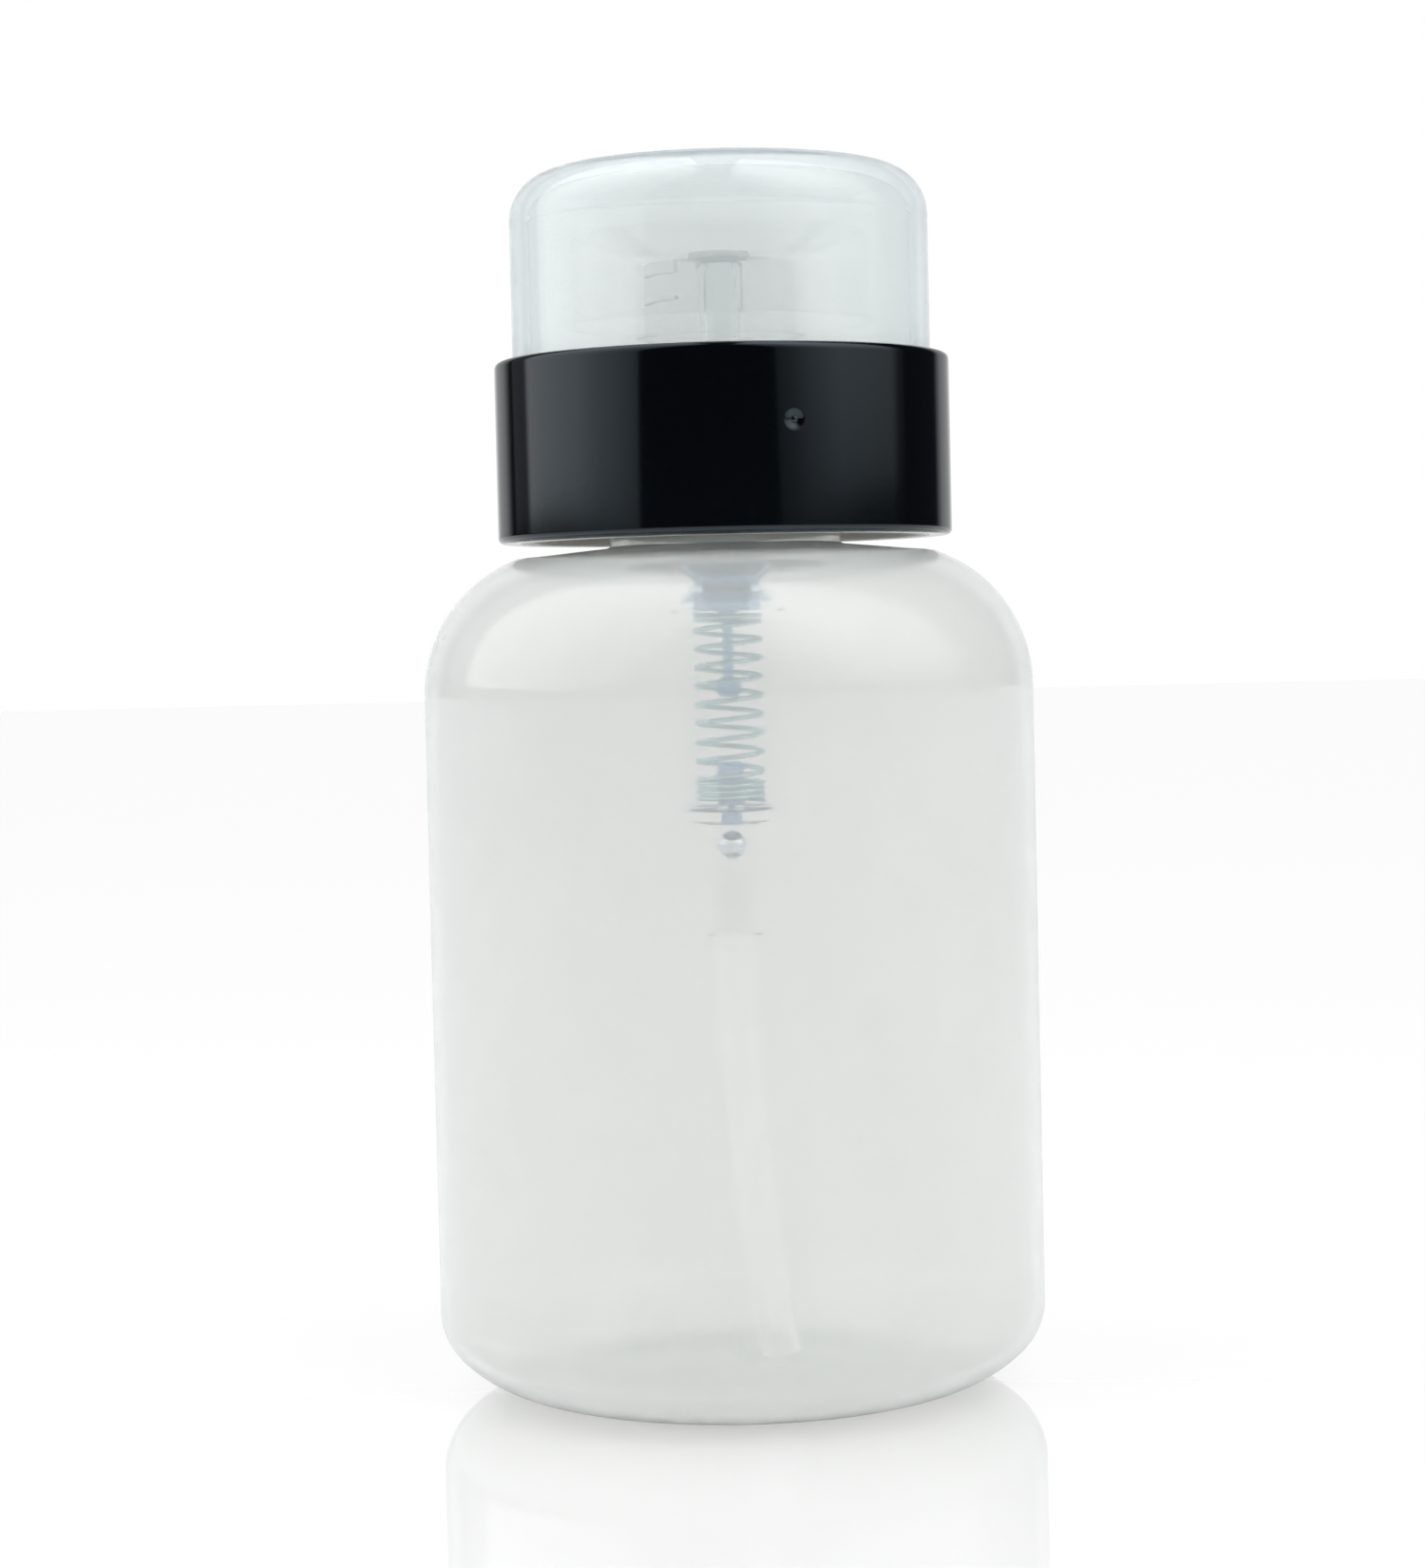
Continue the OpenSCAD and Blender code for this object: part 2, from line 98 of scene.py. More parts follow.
def add_node(tree, kind, settings=None, inputs=None, links=None):
    """Adds a node: settings are its properties, inputs its socket values, links what feeds its sockets."""
    node = tree.nodes.new(kind)
    for name, value in (settings or {}).items():
        setattr(node, name, value)
    for name, value in (inputs or {}).items():
        node.inputs[name].default_value = value
    for name, source in (links or {}).items():
        tree.links.new(source, node.inputs[name])
    return node


def new_material(name):
    """An empty node material and its output node."""
    material = bpy.data.materials.new(name)
    material.use_nodes = True
    material.node_tree.nodes.clear()
    return material, material.node_tree, add_node(material.node_tree, "ShaderNodeOutputMaterial")


def ramp(tree, source, stops):
    """A colour ramp from (position, grey or hex) pairs."""
    node = add_node(tree, "ShaderNodeValToRGB", links={0: source})
    elements = node.color_ramp.elements
    while len(elements) < len(stops):
        elements.new(0.5)
    for element, (position, value) in zip(elements, stops):
        element.position = position
        element.color = linear(value) if isinstance(value, str) else (value, value, value, 1)
    return node


world = bpy.data.worlds.new("surround")
bpy.context.scene.world = world
world.use_nodes = True
tree = world.node_tree
tree.nodes.clear()
direction = add_node(tree, "ShaderNodeSeparateXYZ",
                     links={0: add_node(tree, "ShaderNodeTexCoord").outputs["Generated"]})
# mirrored: only the backdrop is light, and the room is dark; the softboxes are lamps
half = add_node(tree, "ShaderNodeMath", {"operation": "MULTIPLY_ADD"}, {1: 0.5, 2: 0.5},
                {0: direction.outputs["Y"]})
mirrored = ramp(tree, half.outputs[0],
                [(0.0, 0.012), (0.85, 0.02), (0.90, 0.60), (0.965, 0.65), (0.985, 1.0)])
even = ramp(tree, half.outputs[0], [(0.0, 0.45), (0.5, 0.55), (1.0, 0.70)])
path = add_node(tree, "ShaderNodeLightPath")
shade = add_node(tree, "ShaderNodeMix", {"data_type": "RGBA"},
                 links={0: path.outputs["Is Glossy Ray"], 6: even.outputs[0], 7: mirrored.outputs[0]})
lit = add_node(tree, "ShaderNodeBackground", inputs={"Strength": 1.0}, links={"Color": shade.outputs[2]})
white = add_node(tree, "ShaderNodeBackground", inputs={"Color": (1, 1, 1, 1), "Strength": 1.0})
through = add_node(tree, "ShaderNodeMath", {"operation": "MAXIMUM"},
                   links={0: path.outputs["Is Camera Ray"], 1: path.outputs["Is Transmission Ray"]})
# the table is the only perfect mirror, and it shows the white surround
clear = add_node(tree, "ShaderNodeMath", {"operation": "MAXIMUM"},
                 links={0: through.outputs[0], 1: path.outputs["Is Singular Ray"]})
seen = add_node(tree, "ShaderNodeMixShader",
                links={0: clear.outputs[0], 1: lit.outputs[0], 2: white.outputs[0]})
add_node(tree, "ShaderNodeOutputWorld", links={0: seen.outputs[0]})


def softbox(name, centre, size, tilt, radiance, fade, across):
    """A leaning softbox that fades towards its foot, and across from its camera side to its far side."""
    data = bpy.data.lights.new(name, "AREA")
    data.shape = "RECTANGLE"
    data.size, data.size_y = size
    data.energy = radiance * math.pi * size[0] * size[1]
    data.use_nodes = True
    place = add_node(data.node_tree, "ShaderNodeSeparateXYZ", links={
        0: add_node(data.node_tree, "ShaderNodeNewGeometry").outputs["Parametric"]})
    up = ramp(data.node_tree, place.outputs["Y"], fade)
    if centre[0] < 0:
        across = [(1.0 - at, value) for at, value in reversed(across)]
    side = ramp(data.node_tree, place.outputs["X"], across)
    strength = add_node(data.node_tree, "ShaderNodeMath", {"operation": "MULTIPLY"}, links={
        0: up.outputs[0], 1: side.outputs[0]})
    emission = data.node_tree.nodes["Emission"]
    data.node_tree.links.new(strength.outputs[0], emission.inputs["Strength"])
    lamp = bpy.data.objects.new(name, data)
    lean = math.radians(tilt)
    inwards = -1 if centre[0] > 0 else 1
    lamp.location = centre
    aim = Vector((inwards * math.cos(lean), 0, -math.sin(lean)))
    lamp.rotation_euler = aim.to_track_quat("-Z", "Y").to_euler()
    lamp.visible_camera = False
    bpy.context.scene.collection.objects.link(lamp)


softbox("softbox_left", (-0.30, -0.08, 0.553), (0.94, 0.985), 24, 1.65,
        [(0.0, 0.88), (0.15, 0.92), (0.45, 1.0)],
        [(0.0, 0.30), (0.32, 0.68), (0.46, 0.98), (0.60, 1.0), (0.79, 0.88), (0.83, 0.10)])
softbox("softbox_right", (0.30, -0.42, 0.558), (1.03, 0.985), 24, 2.5,
        [(0.0, 0.24), (0.12, 0.60), (0.45, 1.0)],
        [(0.0, 0.15), (0.24, 0.28), (0.48, 0.68), (0.64, 1.0), (0.78, 0.90), (0.92, 0.66), (0.97, 0.10)])

table_mesh = bpy.data.meshes.new("table")
reach = 4.0
table_mesh.from_pydata([(-reach, -reach, 0), (reach, -reach, 0), (reach, reach, 0), (-reach, reach, 0)],
                       [], [(0, 1, 2, 3)])
table = bpy.data.objects.new("table", table_mesh)
bpy.context.scene.collection.objects.link(table)
material, tree, output = new_material("white_acrylic_table")
matt = add_node(tree, "ShaderNodeBsdfDiffuse", inputs={"Color": linear("#FAFAFA")})
gloss = add_node(tree, "ShaderNodeBsdfGlossy", inputs={"Color": linear("#FFFFFF"), "Roughness": 0.0})
slant = add_node(tree, "ShaderNodeLayerWeight", inputs={"Blend": 0.5})
shine = ramp(tree, slant.outputs["Facing"], [(0.0, 0.04), (0.55, 0.10), (0.74, 0.42), (0.92, 0.80)])
glow = add_node(tree, "ShaderNodeEmission", inputs={"Color": (1, 1, 1, 1), "Strength": 1.0})
path = add_node(tree, "ShaderNodeLightPath")
through = add_node(tree, "ShaderNodeMath", {"operation": "MULTIPLY"}, {1: 0.85},
                   {0: path.outputs["Is Transmission Ray"]})
share = add_node(tree, "ShaderNodeMath", {"operation": "MULTIPLY_ADD"}, {1: 0.62},
                 {0: path.outputs["Is Camera Ray"], 2: through.outputs[0]})
pale = add_node(tree, "ShaderNodeMixShader",
                links={0: share.outputs[0], 1: matt.outputs[0], 2: glow.outputs[0]})
both = add_node(tree, "ShaderNodeMixShader",
                links={0: shine.outputs[0], 1: pale.outputs[0], 2: gloss.outputs[0]})
tree.links.new(both.outputs[0], output.inputs["Surface"])
table_mesh.materials.append(material)
table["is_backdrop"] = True


# ---------------------------------------------------------------------------
# Bottle: blow-moulded polypropylene, about 1 mm thick, with a pressed-up base
# inside a standing ring. Unpigmented PP is see-through with a milky haze.
MM = 0.001


def arc(x, z, r, start, end, steps=14):
    """Points on an arc about (x, z), in degrees."""
    angles = [math.radians(start + (end - start) * i / steps) for i in range(steps + 1)]
    return [(x + r * math.cos(a), z + r * math.sin(a)) for a in angles]


def rounded(corners):
    """An outline of (radius, height[, edge radius]) corners with its edges rounded."""
    points = []
    for i, corner in enumerate(corners):
        here, edge = Vector(corner[:2]), corner[2] if len(corner) > 2 else 0
        if not edge:
            points.append(tuple(here))
            continue
        a = (Vector(corners[i - 1][:2]) - here).normalized()
        b = (Vector(corners[(i + 1) % len(corners)][:2]) - here).normalized()
        spread = a.angle(b) / 2
        start, end = here + a * edge / math.tan(spread), here + b * edge / math.tan(spread)
        centre = here + (a + b).normalized() * edge / math.sin(spread)
        sweep = math.pi - 2 * spread
        count = max(2, round(math.degrees(sweep) / 15))
        first, last = start - centre, end - centre
        for k in range(count + 1):
            t = k / count
            points.append(tuple(centre + (first * math.sin((1 - t) * sweep) + last * math.sin(t * sweep))
                                / math.sin(sweep)))
    return points


def held(outline, closed, gap=0.12, long=1.5):
    """An outline with a point near each end of its long straights, so that they are shaded flat."""
    points = []
    ends = outline[1:] + (outline[:1] if closed else [])
    for start, end in zip(outline, ends):
        points.append(start)
        run = Vector(end) - Vector(start)
        if run.length > long:
            step = run.normalized() * gap
            points += [tuple(Vector(start) + step), tuple(Vector(end) - step)]
    return points if closed else points + [outline[-1]]


def lathe(name, outline, steps=160, sharp=35):
    """A turned piece from an outline in mm. An outline that starts and ends on the axis is closed there."""
    on_axis = outline[0][0] < 1e-6 and outline[-1][0] < 1e-6
    outline = held(outline, not on_axis)
    mesh = bmesh.new()
    rings = []
    for r, z in outline:
        if r < 1e-6:
            rings.append([mesh.verts.new((0, 0, z * MM))])
        else:
            rings.append([mesh.verts.new((r * MM * math.cos(t), r * MM * math.sin(t), z * MM))
                          for t in (2 * math.pi * k / steps for k in range(steps))])
    pairs = list(zip(rings, rings[1:])) + ([] if on_axis else [(rings[-1], rings[0])])
    for low, high in pairs:
        for k in range(steps):
            n = (k + 1) % steps
            corners = [low[k % len(low)], low[n % len(low)], high[n % len(high)], high[k % len(high)]]
            face = list(dict.fromkeys(corners))
            if len(face) > 2:
                mesh.faces.new(face)
    bmesh.ops.remove_doubles(mesh, verts=mesh.verts, dist=1e-7)
    bmesh.ops.recalc_face_normals(mesh, faces=mesh.faces)
    return as_object(name, mesh, sharp)


def as_object(name, mesh, sharp=35):
    """Turns a bmesh into an object, smooth but for its sharp edges."""
    for face in mesh.faces:
        face.smooth = True
    for edge in mesh.edges:
        edge.smooth = edge.calc_face_angle(0) < math.radians(sharp)
    data = bpy.data.meshes.new(name)
    mesh.to_mesh(data)
    mesh.free()
    piece = bpy.data.objects.new(name, data)
    bpy.context.scene.collection.objects.link(piece)
    return piece


def fit(piece, material, body, slot, *nodes):
    """Gives a piece its material and its body, and hides the CAD nodes that it stands for."""
    piece.data.materials.clear()
    piece.data.materials.append(material)
    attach(piece, body)
    if nodes:
        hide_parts(*nodes)
    return piece


low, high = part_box("bottle")
body_r = high[0] / MM
neck_top = high[2] / MM
wall = 1.0
side_top, shoulder_r, shoulder_w, cone_slope = 68.6, 14.0, 9.4, math.radians(5.5)
neck_r, neck_bore = 11.25, 9.6
base_w, base_h = 10.5, 7.9
push_w, push_h, floor_t = 17.0, 1.2, 1.0
spread = (base_w - base_h) / (math.sqrt(2) - 1)
side_arc, foot_arc = base_w - spread * math.sqrt(0.5), base_w - spread * math.sqrt(0.5) + spread
push_r = (push_w ** 2 + push_h ** 2) / (2 * push_h)
shoulder_x = body_r - shoulder_r
cone_edge = body_r - shoulder_w
cone_edge_z = side_top + math.sqrt(shoulder_r ** 2 - (cone_edge - shoulder_x) ** 2)
cone_root_z = cone_edge_z + (cone_edge - neck_r) * math.tan(cone_slope)


def body_side(inset):
    """The outside of the body from the foot to the cone, moved inwards by a distance."""
    top = math.degrees(math.acos((cone_edge - shoulder_x) / shoulder_r))
    return (arc(body_r - base_w, foot_arc, foot_arc - inset, -90, -45, 12)
            + arc(body_r - side_arc, base_h, side_arc - inset, -45, 0, 12)[1:]
            + arc(shoulder_x, side_top, shoulder_r - inset, 0, top, 28))


def pushed(z_lift, width, steps=10):
    """The pressed-up base from the axis outwards."""
    angle = math.degrees(math.asin(width / (push_r + z_lift)))
    return arc(0, push_h - push_r, push_r + z_lift, 90, 90 - angle, steps)


outside = pushed(0, push_w) + body_side(0)
neck_outside = rounded([(neck_r, cone_root_z, 0), (neck_r, neck_top, 0.25), (neck_bore, neck_top, 0.25)])
inside = body_side(wall)
inner_cone_z = cone_root_z - wall + (neck_r - neck_bore) * math.tan(cone_slope)
outline = (outside + [(neck_r + 0.5, cone_root_z - 0.05), (neck_r + 0.12, cone_root_z + 0.12)]
           + neck_outside[1:] + [(neck_bore, inner_cone_z + 0.4), (neck_bore + 0.4, inner_cone_z)]
           + inside[::-1] + pushed(floor_t, push_w)[::-1])
outline[0] = (0, outline[0][1])
outline[-1] = (0, outline[-1][1])
bottle = lathe("bottle_body", outline, steps=192)


def hazy_plastic(name, tint, haze, haze_tint, roughness, grain_mm, grain_depth, bend=1.49,
                 body_tint=None, density=0.0, leak=0.0, core_r=0.0, painted_glow=0.0):
    """Moulded plastic: a clear wall, a milky veil on its faces that thins past a core, a faint grain.
    leak is the share of light that the inner faces let out; the last argument is a painted glow, an
    emission in place of light scattered in the wall."""
    material, tree, output = new_material(name)
    where = add_node(tree, "ShaderNodeTexCoord").outputs["Object"]
    grain = add_node(tree, "ShaderNodeTexNoise", inputs={"Scale": 1 / (grain_mm * MM), "Detail": 3},
                     links={"Vector": where})
    bump = add_node(tree, "ShaderNodeBump", inputs={"Strength": 0.35, "Distance": grain_depth * MM},
                    links={"Height": grain.outputs[0]})
    # the emission strength is a painted glow: the surface lights itself, which no lamp causes
    clear = add_node(tree, "ShaderNodeBsdfPrincipled",
                     inputs={"Base Color": linear(tint), "Roughness": roughness, "IOR": bend,
                             "Transmission Weight": 1.0, "Emission Color": (1, 1, 1, 1),
                             "Emission Strength": painted_glow},
                     links={"Normal": bump.outputs[0]})
    veil = add_node(tree, "ShaderNodeBsdfDiffuse", inputs={"Color": linear(haze_tint)})
    cloud_mm = 18
    cloud = add_node(tree, "ShaderNodeTexNoise", inputs={"Scale": 1 / (cloud_mm * MM), "Detail": 2},
                     links={"Vector": where})
    amount = add_node(tree, "ShaderNodeMapRange", inputs={1: 0.35, 2: 0.65, 3: haze * 0.94, 4: haze * 1.06},
                      links={0: cloud.outputs[0]})
    veil_amount = amount.outputs[0]
    if core_r:
        flat = add_node(tree, "ShaderNodeVectorMath", {"operation": "MULTIPLY"}, {1: (1, 1, 0)}, {0: where})
        radius = add_node(tree, "ShaderNodeVectorMath", {"operation": "LENGTH"}, links={0: flat.outputs[0]})
        thin = add_node(tree, "ShaderNodeMapRange",
                        inputs={1: core_r * MM, 2: (core_r + 0.4) * MM, 3: 1.0, 4: 0.1},
                        links={0: radius.outputs["Value"]})
        veil_amount = add_node(tree, "ShaderNodeMath", {"operation": "MULTIPLY"},
                               links={0: veil_amount, 1: thin.outputs[0]}).outputs[0]
    # from the air the veil scatters light back, and inside the wall a little of it is scattered out
    inner = add_node(tree, "ShaderNodeNewGeometry").outputs["Backfacing"]
    out = add_node(tree, "ShaderNodeBsdfTranslucent", inputs={"Color": linear("#FFFFFF")})
    scatter = add_node(tree, "ShaderNodeMixShader", links={0: inner, 1: veil.outputs[0], 2: out.outputs[0]})
    share = add_node(tree, "ShaderNodeMix", inputs={3: leak}, links={0: inner, 2: veil_amount})
    mixed = add_node(tree, "ShaderNodeMixShader",
                     links={0: share.outputs[0], 1: clear.outputs[0], 2: scatter.outputs[0]})
    tree.links.new(mixed.outputs[0], output.inputs["Surface"])
    if density:
        depth = add_node(tree, "ShaderNodeVolumeAbsorption",
                         inputs={"Color": linear(body_tint), "Density": density})
        tree.links.new(depth.outputs[0], output.inputs["Volume"])
    return material


pp_bottle = hazy_plastic("blown_polypropylene", "#FCFBF9", 0.34, "#EAF0EF", 0.05, 2.5, 0.015,
                         body_tint="#A7B1AE", density=50.0, leak=0.17)
fit(bottle, pp_bottle, "bottle", "pp_bottle", "bottle")

# ---------------------------------------------------------------------------
# Collar sleeve: a black ABS ring with a high gloss, moulded with a step inside
# that sits on the closure, and with a gate mark on its face.
low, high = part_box("collar_sleeve")
sleeve_low, sleeve_high = low[2] / MM, high[2] / MM
sleeve_r = high[0] / MM
sleeve_bore, step_r = 20.75, 20.0
deck_t = 1.4
deck_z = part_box("threaded_closure")[1][2] / MM - deck_t
deck_top = deck_z + deck_t
outline = rounded([
    (sleeve_r, sleeve_low, 0.6), (sleeve_r, sleeve_high, 0.6), (sleeve_bore, sleeve_high, 0.6),
    (sleeve_bore, deck_z, 0), (step_r, deck_z, 0.15), (step_r, sleeve_low, 0.4)])
sleeve = lathe("collar_sleeve_gloss", outline, steps=192)

material, tree, output = new_material("black_abs_gloss")
where = add_node(tree, "ShaderNodeTexCoord").outputs["Object"]
peel_mm, scuff_mm, gate_depth = 6, 0.5, 0.22
orange_peel = add_node(tree, "ShaderNodeTexNoise", inputs={"Scale": 1 / (peel_mm * MM), "Detail": 2},
                       links={"Vector": where})
bump = add_node(tree, "ShaderNodeBump", inputs={"Strength": 0.2, "Distance": 0.01 * MM},
                links={"Height": orange_peel.outputs[0]})
# the gate: a shallow dimple where the runner was cut off, with a low nub in it
gate_angle, gate_z, gate_r = math.radians(17.3), sleeve_low + 10.4, 1.15
gate_at = (sleeve_r * MM * math.sin(gate_angle), -sleeve_r * MM * math.cos(gate_angle), gate_z * MM)
away = add_node(tree, "ShaderNodeVectorMath", {"operation": "DISTANCE"}, {1: gate_at}, {0: where})
dimple = add_node(tree, "ShaderNodeMapRange", {"interpolation_type": "SMOOTHERSTEP"},
                  {1: gate_r * 0.1 * MM, 2: gate_r * MM, 3: 0.0, 4: 1.0}, {0: away.outputs["Value"]})
dent = add_node(tree, "ShaderNodeBump", inputs={"Strength": 1.0, "Distance": gate_depth * MM},
                links={"Height": dimple.outputs[0], "Normal": bump.outputs[0]})
scuff = add_node(tree, "ShaderNodeTexNoise", inputs={"Scale": 1 / (scuff_mm * MM), "Detail": 4},
                 links={"Vector": where})
rough = add_node(tree, "ShaderNodeMapRange", inputs={1: 0.4, 2: 0.75, 3: 0.09, 4: 0.12},
                 links={0: scuff.outputs[0]})
gloss = add_node(tree, "ShaderNodeBsdfPrincipled",
                 inputs={"Base Color": linear("#04060A"), "IOR": 1.53, "Specular Tint": linear("#DDF2FF")},
                 links={"Roughness": rough.outputs[0], "Normal": dent.outputs[0]})
tree.links.new(gloss.outputs[0], output.inputs["Surface"])
black_abs = material
fit(sleeve, black_abs, "collar", "black_gloss", "collar_sleeve")
nub = lathe("gate_nub", [(0, -0.05), (0.36, -0.05), (0.30, 0.05), (0.12, 0.12), (0, 0.13)], steps=24)
nub.data.transform(Matrix.Rotation(math.radians(90), 4, "X"))
nub.data.transform(Matrix.Translation((0, -sleeve_r * MM, gate_z * MM)))
nub.data.transform(Matrix.Rotation(gate_angle, 4, "Z"))
fit(nub, black_abs, "collar", "black_gloss")

# ---------------------------------------------------------------------------
# Threaded closure: natural polypropylene, a deck that carries the sleeve, a skirt
# that screws on the neck, and an outer skirt that lines the sleeve.
deck_r, skirt_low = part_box("threaded_closure")[1][0] / MM, cone_root_z + 1.5
skirt_bore, skirt_out, closure_hole = 12.4, 13.9, 9.15
liner_in, liner_out, liner_low = 18.75, 19.95, sleeve_low
outline = rounded([
    (closure_hole, deck_z), (skirt_bore, deck_z), (skirt_bore, skirt_low, 0.3),
    (skirt_out, skirt_low, 0.3), (skirt_out, deck_z, 0.3), (liner_in, deck_z, 0.3),
    (liner_in, liner_low, 0.3), (liner_out, liner_low, 0.3), (liner_out, deck_z),
    (deck_r, deck_z, 0.2), (deck_r, deck_top, 0.2), (closure_hole, deck_top, 0.2)])
closure = lathe("screw_closure", outline)


def moulded_plastic(name, colour, roughness, grain_mm=0.6):
    """Natural moulded plastic with a soft surface and a little depth."""
    material, tree, output = new_material(name)
    where = add_node(tree, "ShaderNodeTexCoord").outputs["Object"]
    grain = add_node(tree, "ShaderNodeTexNoise", inputs={"Scale": 1 / (grain_mm * MM), "Detail": 4},
                     links={"Vector": where})
    bump = add_node(tree, "ShaderNodeBump", inputs={"Strength": 0.3, "Distance": 0.02 * MM},
                    links={"Height": grain.outputs[0]})
    rough = add_node(tree, "ShaderNodeMapRange",
                     inputs={1: 0.3, 2: 0.7, 3: roughness * 0.85, 4: roughness * 1.15},
                     links={0: grain.outputs[0]})
    plastic = add_node(tree, "ShaderNodeBsdfPrincipled",
                       inputs={"Base Color": linear(colour), "IOR": 1.49, "Subsurface Weight": 0.15,
                               "Subsurface Scale": 1 * MM},
                       links={"Normal": bump.outputs[0], "Roughness": rough.outputs[0]})
    tree.links.new(plastic.outputs[0], output.inputs["Surface"])
    return material


pp_natural = moulded_plastic("natural_polypropylene", "#F7F8F5", 0.35)
fit(closure, pp_natural, "collar", "pp_natural", "threaded_closure")

# ---------------------------------------------------------------------------
# Over-cap: clear moulded plastic, a straight wall with a rounded top edge and a
# faint crease under it. It pushes into the sleeve over the closure's deck.
low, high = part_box("over_cap")
cap_low, cap_top, cap_r = low[2] / MM, high[2] / MM, high[0] / MM
cap_wall, cap_edge = 1.5, 4.8
groove_z, groove_depth, foot_edge = cap_top - cap_edge - 0.8, 0.06, 0.3
cap_bore = cap_r - cap_wall
outer_top = arc(cap_r - cap_edge, cap_top - cap_edge, cap_edge, 0, 90, 20)
inner_top = arc(cap_r - cap_edge, cap_top - cap_edge, cap_edge - cap_wall, 90, 0, 14)
cap_foot = [(cap_bore, cap_low + foot_edge), (cap_bore + foot_edge, cap_low),
            (cap_r - foot_edge, cap_low), (cap_r, cap_low + foot_edge)]
crease = [(cap_r, groove_z - 0.2), (cap_r - groove_depth, groove_z), (cap_r, groove_z + 0.2)]
outline = [(0, cap_top - cap_wall)] + inner_top + cap_foot + crease + outer_top + [(0, cap_top)]
cap = lathe("clear_over_cap", outline, steps=192)
cap_clear = hazy_plastic("clear_moulded_cap", "#FCFCF9", 0.20, "#EDF6F9", 0.04, 4.0, 0.015,
                         body_tint="#98C2D6", density=70.0, leak=0.18)
fit(cap, cap_clear, "cap", "cap_clear", "over_cap")

# ---------------------------------------------------------------------------
# Pump housing: clarified polypropylene, a stepped barrel that hangs in the
# neck by its flange, with the ball's cone seat and the dip tube's socket below.
pp_clear = hazy_plastic("clarified_polypropylene", "#FFFFFF", 0.02, "#FBFDFF", 0.03, 1.5, 0.01,
                        bend=1.07)
low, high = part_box("pump_housing")
socket_z, flange_top, flange_r = low[2] / MM, high[2] / MM, high[0] / MM
flange_t, barrel_h, bore_r = 1.2, 37.2, 4.6
flange_z = flange_top - flange_t
barrel_r, barrel_upper_r, barrel_upper_h = 5.5, 5.75, 16.1
barrel_z = flange_z - barrel_h
barrel_floor = barrel_z + 0.8
socket_bore, socket_r = 2.03, 2.66
socket_top = socket_z + 6.3
passage_r, passage_top, chamber_r, seat_top = 0.9, socket_top + 1.4, 1.75, socket_top + 2.41
outline = rounded([
    (socket_bore, socket_z, 0.1), (socket_r, socket_z, 0.2), (socket_r, barrel_z - 0.5, 0.2),
    (barrel_r, barrel_z, 1.0),
    (barrel_r, flange_z - barrel_upper_h - 0.25), (barrel_upper_r, flange_z - barrel_upper_h),
    (barrel_upper_r, flange_z, 0.2), (flange_r, flange_z, 0.2), (flange_r, flange_top, 0.2),
    (bore_r, flange_top, 0.2), (bore_r, barrel_floor, 0.5), (chamber_r, barrel_floor, 0.1),
    (chamber_r, seat_top), (passage_r, passage_top), (passage_r, socket_top), (socket_bore, socket_top)])
fit(lathe("pump_barrel", outline, steps=96), pp_clear, "pump_body", "pp_clear", "pump_housing")

# ---------------------------------------------------------------------------
# Neck gasket: a soft foam washer, punched from sheet, between the neck and the
# housing's flange.
seal_foam = moulded_plastic("foam_seal", "#ECECE8", 0.8, grain_mm=0.2)
low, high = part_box("neck_gasket")
outline = rounded([(5.9, low[2] / MM, 0.15), (high[0] / MM, low[2] / MM, 0.2),
                   (high[0] / MM, high[2] / MM, 0.2), (5.9, high[2] / MM, 0.15)])
fit(lathe("foam_gasket", outline, steps=96), seal_foam, "pump_body", "foam_seal", "neck_gasket")

# ---------------------------------------------------------------------------
# Stem guide: natural polypropylene, pressed into the barrel, with a tube above
# the closure that the dish's skirt turns on.
low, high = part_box("stem_guide")
plug_z, guide_top = low[2] / MM, high[2] / MM
guide_r, guide_bore, guide_flange_r, stem_hole, plug_r = 6.6, 5.3, 9.0, 2.45, 4.55
outline = rounded([
    (stem_hole, plug_z, 0.15), (plug_r, plug_z, 0.3), (plug_r, flange_top),
    (guide_flange_r, flange_top, 0.1), (guide_flange_r, deck_top, 0.2), (guide_r, deck_top, 0.3),
    (guide_r, guide_top, 0.3),
    (guide_bore, guide_top, 0.3), (guide_bore, deck_top, 0.4), (stem_hole, deck_top, 0.2)])
fit(lathe("stem_guide_tube", outline, steps=96), pp_natural, "pump_body", "pp_natural", "stem_guide")

# ---------------------------------------------------------------------------
# Ball cage: blue polyethylene, a slotted disc with a post that the spring stands
# round. The ball under it is ground stainless steel.
blue_pe = hazy_plastic("blue_polyethylene", "#E2F2FF", 0.85, "#90C8F8", 0.2, 0.8, 0.02, bend=1.04,
                       core_r=3.35)
cage_pe = hazy_plastic("blue_cage_polyethylene", "#F6FAFF", 0.85, "#9AC2FA", 0.2, 0.8, 0.02, bend=1.02,
                       core_r=1.35)
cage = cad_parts["ball_cage"]
cage.data.materials.clear()
cage.data.materials.append(cage_pe)


def metal(name, colour, low_rough, high_rough, mark_mm):
    """Bare steel with fine marks from drawing or grinding."""
    material, tree, output = new_material(name)
    where = add_node(tree, "ShaderNodeTexCoord").outputs["Object"]
    marks = add_node(tree, "ShaderNodeTexNoise", inputs={"Scale": 1 / (mark_mm * MM), "Detail": 3},
                     links={"Vector": where})
    rough = add_node(tree, "ShaderNodeMapRange", inputs={1: 0.3, 2: 0.7, 3: low_rough, 4: high_rough},
                     links={0: marks.outputs[0]})
    bare = add_node(tree, "ShaderNodeBsdfPrincipled",
                    inputs={"Base Color": linear(colour), "Metallic": 1.0},
                    links={"Roughness": rough.outputs[0]})
    tree.links.new(bare.outputs[0], output.inputs["Surface"])
    return material


